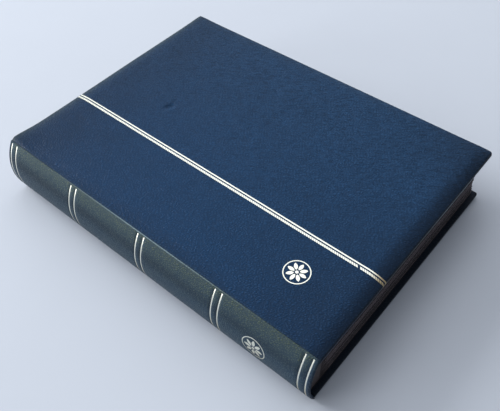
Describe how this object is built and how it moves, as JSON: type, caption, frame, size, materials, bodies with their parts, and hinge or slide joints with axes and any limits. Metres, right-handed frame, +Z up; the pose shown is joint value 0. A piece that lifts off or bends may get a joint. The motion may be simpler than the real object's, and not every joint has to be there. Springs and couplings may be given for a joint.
{
  "type": "stamp album",
  "caption": "Stamp stockbook in a padded leatherette case with a rounded hollow spine, gilt rules, and card leaves with clear stamp strips that turn on linen hinges.",
  "frame": {"origin": "under the middle of the closed album's outline, on the table", "axes": "+X from spine to fore-edge, +Y from tail to head, +Z up through the front cover"},
  "size_m": [0.2318, 0.305, 0.05],
  "materials": {
    "leatherette": "satin",
    "foam": "matte",
    "greyboard": "matte",
    "endpaper": "matte",
    "gilt": "satin",
    "spine_card": "matte",
    "linen": "matte",
    "guard_card": "matte",
    "leaf_card": "matte"
  },
  "bodies": {
    "back_cover": {"back_leatherette": "leatherette", "back_padding": "foam", "back_board": "greyboard", "back_endpaper": "endpaper"},
    "spine": {"spine_leatherette": "leatherette", "spine_card": "spine_card", "spine_lining": "linen", "spine_gilt_lines": "gilt", "spine_ornament": "gilt", "binding_guards": "guard_card"},
    "front_cover": {"front_leatherette": "leatherette", "front_padding": "foam", "front_board": "greyboard", "front_endpaper": "endpaper", "front_gilt_rules": "gilt", "front_ornament": "gilt"},
    "turning_leaf_01": {"leaf_01": "leaf_card"},
    "turning_leaf_02": {"leaf_02": "leaf_card"},
    "turning_leaf_03": {"leaf_03": "leaf_card"},
    "turning_leaf_04": {"leaf_04": "leaf_card"},
    "turning_leaf_05": {"leaf_05": "leaf_card"},
    "turning_leaf_06": {"leaf_06": "leaf_card"},
    "turning_leaf_07": {"leaf_07": "leaf_card"},
    "turning_leaf_08": {"leaf_08": "leaf_card"},
    "turning_leaf_09": {"leaf_09": "leaf_card"},
    "turning_leaf_10": {"leaf_10": "leaf_card"},
    "turning_leaf_11": {"leaf_11": "leaf_card"},
    "turning_leaf_12": {"leaf_12": "leaf_card"},
    "turning_leaf_13": {"leaf_13": "leaf_card"},
    "turning_leaf_14": {"leaf_14": "leaf_card"},
    "turning_leaf_15": {"leaf_15": "leaf_card"},
    "turning_leaf_16": {"leaf_16": "leaf_card"},
    "turning_leaf_17": {"leaf_17": "leaf_card"},
    "turning_leaf_18": {"leaf_18": "leaf_card"},
    "turning_leaf_19": {"leaf_19": "leaf_card"},
    "turning_leaf_20": {"leaf_20": "leaf_card"},
    "turning_leaf_21": {"leaf_21": "leaf_card"},
    "turning_leaf_22": {"leaf_22": "leaf_card"},
    "turning_leaf_23": {"leaf_23": "leaf_card"},
    "turning_leaf_24": {"leaf_24": "leaf_card"},
    "turning_leaf_25": {"leaf_25": "leaf_card"},
    "turning_leaf_26": {"leaf_26": "leaf_card"},
    "turning_leaf_27": {"leaf_27": "leaf_card"},
    "turning_leaf_28": {"leaf_28": "leaf_card"},
    "turning_leaf_29": {"leaf_29": "leaf_card"},
    "turning_leaf_30": {"leaf_30": "leaf_card"},
    "turning_leaf_31": {"leaf_31": "leaf_card"},
    "turning_leaf_32": {"leaf_32": "leaf_card"}
  },
  "joints": [
    {"name": "spine_hinge", "type": "hinge", "parent": "back_cover", "child": "spine", "pos_m": [-0.1094, 0, 0.0003], "axis": [0, -1, 0], "range_deg": [0, 55]},
    {"name": "front_cover_hinge", "type": "hinge", "parent": "spine", "child": "front_cover", "pos_m": [-0.1069, 0, 0.0497], "axis": [0, -1, 0], "range_deg": [0, 130]},
    {"name": "leaf_01_hinge", "type": "hinge", "parent": "spine", "child": "turning_leaf_01", "pos_m": [-0.0959, 0, 0.04408], "axis": [0, -1, 0], "range_deg": [0, 78.5]},
    {"name": "leaf_02_hinge", "type": "hinge", "parent": "spine", "child": "turning_leaf_02", "pos_m": [-0.09596, 0, 0.04285], "axis": [0, -1, 0], "range_deg": [0, 76.5]},
    {"name": "leaf_03_hinge", "type": "hinge", "parent": "spine", "child": "turning_leaf_03", "pos_m": [-0.09602, 0, 0.04162], "axis": [0, -1, 0], "range_deg": [0, 74.5]},
    {"name": "leaf_04_hinge", "type": "hinge", "parent": "spine", "child": "turning_leaf_04", "pos_m": [-0.09608, 0, 0.04039], "axis": [0, -1, 0], "range_deg": [0, 72.5]},
    {"name": "leaf_05_hinge", "type": "hinge", "parent": "spine", "child": "turning_leaf_05", "pos_m": [-0.09614, 0, 0.03916], "axis": [0, -1, 0], "range_deg": [0, 70.5]},
    {"name": "leaf_06_hinge", "type": "hinge", "parent": "spine", "child": "turning_leaf_06", "pos_m": [-0.0962, 0, 0.03793], "axis": [0, -1, 0], "range_deg": [0, 68.5]},
    {"name": "leaf_07_hinge", "type": "hinge", "parent": "spine", "child": "turning_leaf_07", "pos_m": [-0.09627, 0, 0.0367], "axis": [0, -1, 0], "range_deg": [0, 66.5]},
    {"name": "leaf_08_hinge", "type": "hinge", "parent": "spine", "child": "turning_leaf_08", "pos_m": [-0.09633, 0, 0.03547], "axis": [0, -1, 0], "range_deg": [0, 64.5]},
    {"name": "leaf_09_hinge", "type": "hinge", "parent": "spine", "child": "turning_leaf_09", "pos_m": [-0.09639, 0, 0.03423], "axis": [0, -1, 0], "range_deg": [0, 62.5]},
    {"name": "leaf_10_hinge", "type": "hinge", "parent": "spine", "child": "turning_leaf_10", "pos_m": [-0.09645, 0, 0.033], "axis": [0, -1, 0], "range_deg": [0, 60.5]},
    {"name": "leaf_11_hinge", "type": "hinge", "parent": "spine", "child": "turning_leaf_11", "pos_m": [-0.09651, 0, 0.03177], "axis": [0, -1, 0], "range_deg": [0, 58.5]},
    {"name": "leaf_12_hinge", "type": "hinge", "parent": "spine", "child": "turning_leaf_12", "pos_m": [-0.09657, 0, 0.03054], "axis": [0, -1, 0], "range_deg": [0, 56.5]},
    {"name": "leaf_13_hinge", "type": "hinge", "parent": "spine", "child": "turning_leaf_13", "pos_m": [-0.09663, 0, 0.02931], "axis": [0, -1, 0], "range_deg": [0, 54.5]},
    {"name": "leaf_14_hinge", "type": "hinge", "parent": "spine", "child": "turning_leaf_14", "pos_m": [-0.0967, 0, 0.02808], "axis": [0, -1, 0], "range_deg": [0, 52.5]},
    {"name": "leaf_15_hinge", "type": "hinge", "parent": "spine", "child": "turning_leaf_15", "pos_m": [-0.09676, 0, 0.02685], "axis": [0, -1, 0], "range_deg": [0, 50.5]},
    {"name": "leaf_16_hinge", "type": "hinge", "parent": "spine", "child": "turning_leaf_16", "pos_m": [-0.09682, 0, 0.02562], "axis": [0, -1, 0], "range_deg": [0, 48.5]},
    {"name": "leaf_17_hinge", "type": "hinge", "parent": "spine", "child": "turning_leaf_17", "pos_m": [-0.09688, 0, 0.02438], "axis": [0, -1, 0], "range_deg": [-37.5, 0]},
    {"name": "leaf_18_hinge", "type": "hinge", "parent": "spine", "child": "turning_leaf_18", "pos_m": [-0.09694, 0, 0.02315], "axis": [0, -1, 0], "range_deg": [-38.7, 0]},
    {"name": "leaf_19_hinge", "type": "hinge", "parent": "spine", "child": "turning_leaf_19", "pos_m": [-0.097, 0, 0.02192], "axis": [0, -1, 0], "range_deg": [-39.9, 0]},
    {"name": "leaf_20_hinge", "type": "hinge", "parent": "spine", "child": "turning_leaf_20", "pos_m": [-0.09706, 0, 0.02069], "axis": [0, -1, 0], "range_deg": [-41.1, 0]},
    {"name": "leaf_21_hinge", "type": "hinge", "parent": "spine", "child": "turning_leaf_21", "pos_m": [-0.09713, 0, 0.01946], "axis": [0, -1, 0], "range_deg": [-42.3, 0]},
    {"name": "leaf_22_hinge", "type": "hinge", "parent": "spine", "child": "turning_leaf_22", "pos_m": [-0.09719, 0, 0.01823], "axis": [0, -1, 0], "range_deg": [-43.5, 0]},
    {"name": "leaf_23_hinge", "type": "hinge", "parent": "spine", "child": "turning_leaf_23", "pos_m": [-0.09725, 0, 0.017], "axis": [0, -1, 0], "range_deg": [-44.7, 0]},
    {"name": "leaf_24_hinge", "type": "hinge", "parent": "spine", "child": "turning_leaf_24", "pos_m": [-0.09731, 0, 0.01577], "axis": [0, -1, 0], "range_deg": [-45.9, 0]},
    {"name": "leaf_25_hinge", "type": "hinge", "parent": "spine", "child": "turning_leaf_25", "pos_m": [-0.09737, 0, 0.01453], "axis": [0, -1, 0], "range_deg": [-47.1, 0]},
    {"name": "leaf_26_hinge", "type": "hinge", "parent": "spine", "child": "turning_leaf_26", "pos_m": [-0.09743, 0, 0.0133], "axis": [0, -1, 0], "range_deg": [-48.3, 0]},
    {"name": "leaf_27_hinge", "type": "hinge", "parent": "spine", "child": "turning_leaf_27", "pos_m": [-0.0975, 0, 0.01207], "axis": [0, -1, 0], "range_deg": [-49.5, 0]},
    {"name": "leaf_28_hinge", "type": "hinge", "parent": "spine", "child": "turning_leaf_28", "pos_m": [-0.09756, 0, 0.01084], "axis": [0, -1, 0], "range_deg": [-50.7, 0]},
    {"name": "leaf_29_hinge", "type": "hinge", "parent": "spine", "child": "turning_leaf_29", "pos_m": [-0.09762, 0, 0.00961], "axis": [0, -1, 0], "range_deg": [-51.9, 0]},
    {"name": "leaf_30_hinge", "type": "hinge", "parent": "spine", "child": "turning_leaf_30", "pos_m": [-0.09768, 0, 0.00838], "axis": [0, -1, 0], "range_deg": [-53.1, 0]},
    {"name": "leaf_31_hinge", "type": "hinge", "parent": "spine", "child": "turning_leaf_31", "pos_m": [-0.09774, 0, 0.00715], "axis": [0, -1, 0], "range_deg": [-54.3, 0]},
    {"name": "leaf_32_hinge", "type": "hinge", "parent": "spine", "child": "turning_leaf_32", "pos_m": [-0.0978, 0, 0.00592], "axis": [0, -1, 0], "range_deg": [-55.5, 0]}
  ],
  "couplings": [
    {"joint": "leaf_01_hinge", "follows": "front_cover_hinge", "ratio": 0.6},
    {"joint": "leaf_02_hinge", "follows": "front_cover_hinge", "ratio": 0.58461},
    {"joint": "leaf_03_hinge", "follows": "front_cover_hinge", "ratio": 0.56923},
    {"joint": "leaf_04_hinge", "follows": "front_cover_hinge", "ratio": 0.55385},
    {"joint": "leaf_05_hinge", "follows": "front_cover_hinge", "ratio": 0.53846},
    {"joint": "leaf_06_hinge", "follows": "front_cover_hinge", "ratio": 0.52308},
    {"joint": "leaf_07_hinge", "follows": "front_cover_hinge", "ratio": 0.50769},
    {"joint": "leaf_08_hinge", "follows": "front_cover_hinge", "ratio": 0.49231},
    {"joint": "leaf_09_hinge", "follows": "front_cover_hinge", "ratio": 0.47692},
    {"joint": "leaf_10_hinge", "follows": "front_cover_hinge", "ratio": 0.46154},
    {"joint": "leaf_11_hinge", "follows": "front_cover_hinge", "ratio": 0.44615},
    {"joint": "leaf_12_hinge", "follows": "front_cover_hinge", "ratio": 0.43077},
    {"joint": "leaf_13_hinge", "follows": "front_cover_hinge", "ratio": 0.41539},
    {"joint": "leaf_14_hinge", "follows": "front_cover_hinge", "ratio": 0.4},
    {"joint": "leaf_15_hinge", "follows": "front_cover_hinge", "ratio": 0.38461},
    {"joint": "leaf_16_hinge", "follows": "front_cover_hinge", "ratio": 0.36923},
    {"joint": "leaf_17_hinge", "follows": "spine_hinge", "ratio": -0.67273},
    {"joint": "leaf_18_hinge", "follows": "spine_hinge", "ratio": -0.69454},
    {"joint": "leaf_19_hinge", "follows": "spine_hinge", "ratio": -0.71636},
    {"joint": "leaf_20_hinge", "follows": "spine_hinge", "ratio": -0.73818},
    {"joint": "leaf_21_hinge", "follows": "spine_hinge", "ratio": -0.76},
    {"joint": "leaf_22_hinge", "follows": "spine_hinge", "ratio": -0.78182},
    {"joint": "leaf_23_hinge", "follows": "spine_hinge", "ratio": -0.80364},
    {"joint": "leaf_24_hinge", "follows": "spine_hinge", "ratio": -0.82546},
    {"joint": "leaf_25_hinge", "follows": "spine_hinge", "ratio": -0.84727},
    {"joint": "leaf_26_hinge", "follows": "spine_hinge", "ratio": -0.86909},
    {"joint": "leaf_27_hinge", "follows": "spine_hinge", "ratio": -0.89091},
    {"joint": "leaf_28_hinge", "follows": "spine_hinge", "ratio": -0.91273},
    {"joint": "leaf_29_hinge", "follows": "spine_hinge", "ratio": -0.93454},
    {"joint": "leaf_30_hinge", "follows": "spine_hinge", "ratio": -0.95636},
    {"joint": "leaf_31_hinge", "follows": "spine_hinge", "ratio": -0.97818},
    {"joint": "leaf_32_hinge", "follows": "spine_hinge", "ratio": -1}
  ]
}
